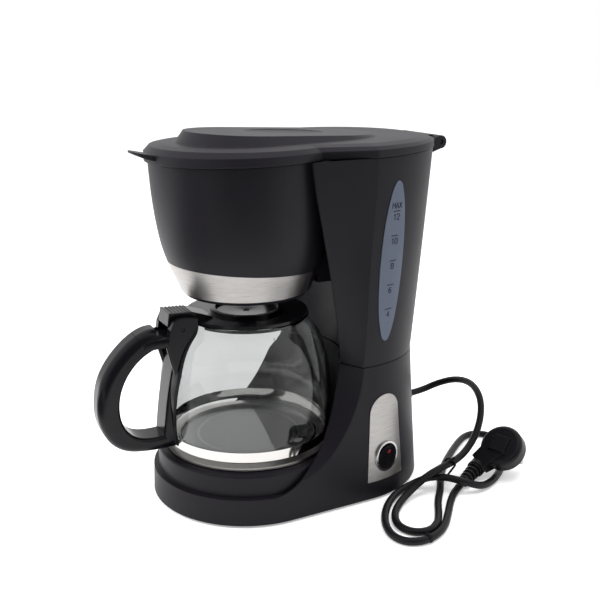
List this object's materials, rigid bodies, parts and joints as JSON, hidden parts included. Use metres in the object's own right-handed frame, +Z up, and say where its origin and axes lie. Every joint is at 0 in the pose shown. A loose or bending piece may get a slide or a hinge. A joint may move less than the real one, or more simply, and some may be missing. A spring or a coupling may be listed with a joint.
{
  "type": "drip coffee maker",
  "caption": "Drip coffee maker with a flared water tank, a round brew drum with a steel band, a hinged lid, a glass carafe on a warming plate and a bundled mains cord.",
  "frame": {"origin": "middle of the machine and carafe box at the feet, without the cord", "axes": "+Z up, front with the carafe handle towards -Y, switch and water window towards +X"},
  "size_m": [0.2463, 0.3763, 0.3026],
  "materials": {
    "body_plastic": "fine matte moulding",
    "gloss_plastic": "satin gloss moulding",
    "inner_plastic": "moulded",
    "steel_band": "brushed",
    "bright_metal": "polished",
    "plate_metal": "satin coated",
    "heater_metal": "cast",
    "carafe_glass": "clear",
    "gauge_plastic": "translucent blue-grey",
    "mesh": "fine mesh",
    "rubber": "moulded",
    "clear_tube": "silicone",
    "nylon": "moulded",
    "cord_pvc": "satin sheath"
  },
  "bodies": {
    "machine": {"lower_housing": "body_plastic", "upper_housing": "body_plastic", "base_plate": "body_plastic", "lid_hinge_pin": "gloss_plastic", "filter_basket": "inner_plastic", "spout": "inner_plastic", "check_valve": "inner_plastic", "switch_body": "inner_plastic", "drum_band": "steel_band", "switch_plate": "steel_band", "switch_bezel": "bright_metal", "plug_pins": "bright_metal", "rocker_pin": "bright_metal", "base_screws": "bright_metal", "warming_plate": "plate_metal", "heat_spreader": "heater_metal", "heating_element": "heater_metal", "element_clamp": "heater_metal", "thermostat": "heater_metal", "thermal_fuse": "heater_metal", "water_window": "gauge_plastic", "mesh_filter": "mesh", "plate_gasket": "rubber", "foot_front_left": "rubber", "foot_front_right": "rubber", "foot_back_left": "rubber", "foot_back_right": "rubber", "inlet_hose": "rubber", "riser_pipe": "clear_tube", "terminal_block": "nylon", "mains_cord": "cord_pvc", "cord_gland": "cord_pvc", "plug_relief": "cord_pvc", "plug_body": "cord_pvc", "cord_tie": "cord_pvc"},
    "lid": {"lid": "body_plastic", "shower_plate": "inner_plastic"},
    "carafe": {"carafe_glass": "carafe_glass", "carafe_band": "bright_metal", "carafe_handle": "gloss_plastic", "lever_pin": "gloss_plastic"},
    "carafe_lid": {"carafe_lid": "gloss_plastic", "thumb_lever": "gloss_plastic"},
    "rocker": {"switch_rocker": "gloss_plastic"},
    "drip_stop": {"drip_pin": "inner_plastic", "drip_seal": "rubber"},
    "check_ball": {"check_ball": "bright_metal"}
  },
  "joints": [
    {"name": "lid_hinge", "type": "hinge", "parent": "machine", "child": "lid", "pos_m": [0, 0.1465, 0.2875], "axis": [-1, 0, 0], "range_deg": [0, 100]},
    {"name": "carafe_slide", "type": "slide", "parent": "machine", "child": "carafe", "axis": [0, -1, 0], "range_m": [0, 0.18]},
    {"name": "carafe_lid_hinge", "type": "hinge", "parent": "carafe", "child": "carafe_lid", "pos_m": [0, -0.0835, 0.1515], "axis": [1, 0, 0], "range_deg": [0, 5.5]},
    {"name": "rocker_tilt", "type": "hinge", "parent": "machine", "child": "rocker", "pos_m": [0.07374, 0.06827, 0.0365], "axis": [0.2028, -0.9792, 0], "range_deg": [0, 14]},
    {"name": "drip_slide", "type": "slide", "parent": "machine", "child": "drip_stop", "axis": [0, 0, 1], "range_m": [0, 0.004], "stiffness_N_per_m": 150, "springref_m": -0.002},
    {"name": "ball_lift", "type": "slide", "parent": "machine", "child": "check_ball", "axis": [0, 0, 1], "range_m": [0, 0.003]}
  ]
}
